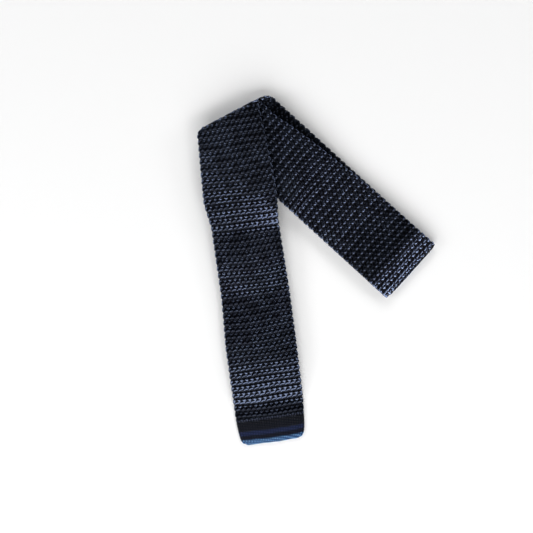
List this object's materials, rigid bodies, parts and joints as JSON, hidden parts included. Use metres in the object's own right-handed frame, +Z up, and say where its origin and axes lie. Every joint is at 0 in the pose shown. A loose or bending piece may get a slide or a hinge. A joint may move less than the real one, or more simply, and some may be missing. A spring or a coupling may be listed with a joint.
{
  "type": "knitted necktie",
  "caption": "Square-ended silk knit necktie, folded twice over and laid flat as a V, with ribbed hems, keeper loop and blank labels.",
  "frame": {"origin": "on the surface the tie lies on, under the middle of the folded tie's box", "axes": "+X to the right leg's side, +Y from the front blade's hem towards the apex creases, +Z up from the surface to the visible face"},
  "size_m": [0.2048, 0.301, 0.0159],
  "materials": {
    "knit": "chunky silk knit, near-black navy",
    "rib": "fine ribbed silk knit, black",
    "stripe": "fine ribbed silk knit, blue",
    "thread": "sewing thread, dark navy",
    "tape": "cotton twill tape, natural",
    "label": "woven satin label, navy, blank",
    "care_label": "woven label, off-white, blank"
  },
  "bodies": {
    "tail": {"tail_end": "knit", "tail_hem_seam": "thread", "tail_hem": "rib", "tail_edge_stripe": "stripe", "tail_fold": "knit"},
    "tail_neck": {"tail_upper": "knit", "tail_seam": "thread", "neck_tail_side": "knit", "stay_tape_tail_side": "tape", "bottom_fold": "knit"},
    "neck": {"neck_blade_side": "knit", "stay_tape_blade_side": "tape", "neck_seam": "thread", "blade_shoulder": "knit", "neck_fold": "knit"},
    "rear_blade": {"blade_rear": "knit", "side_fold": "knit"},
    "middle_blade": {"blade_middle": "knit", "front_fold": "knit"},
    "front": {"front_blade": "knit", "front_hem_seam": "thread", "front_hem": "rib", "front_edge_stripe": "stripe", "keeper_loop": "knit", "keeper_tack_left": "thread", "keeper_tack_right": "thread", "main_label": "label", "label_stitch_left": "thread", "label_stitch_right": "thread", "care_label": "care_label"}
  },
  "joints": [
    {"name": "tail_crease", "type": "hinge", "parent": "tail", "child": "tail_neck", "pos_m": [-0.07285, 0.1336, 0.00255], "axis": [-0.8846, -0.4664, 0], "range_deg": [0, 120], "deforming": ["tail_fold"]},
    {"name": "bottom_crease", "type": "hinge", "parent": "tail_neck", "child": "neck", "pos_m": [-0.04508, -0.08073, 0.00255], "axis": [0.9907, 0.1357, 0], "range_deg": [0, 150], "deforming": ["bottom_fold"]},
    {"name": "neck_crease", "type": "hinge", "parent": "neck", "child": "rear_blade", "pos_m": [-0.07285, 0.1336, 0.00795], "axis": [-0.8846, -0.4664, 0], "range_deg": [0, 180], "deforming": ["neck_fold"]},
    {"name": "side_crease", "type": "hinge", "parent": "rear_blade", "child": "middle_blade", "pos_m": [0.0814, -0.00238, 0.00285], "axis": [0.6717, 0.7408, 0], "range_deg": [0, 165], "deforming": ["side_fold"]},
    {"name": "front_crease", "type": "hinge", "parent": "middle_blade", "child": "front", "pos_m": [-0.07285, 0.1336, 0.01335], "axis": [-0.8846, -0.4664, 0], "range_deg": [0, 180], "deforming": ["front_fold"]}
  ]
}
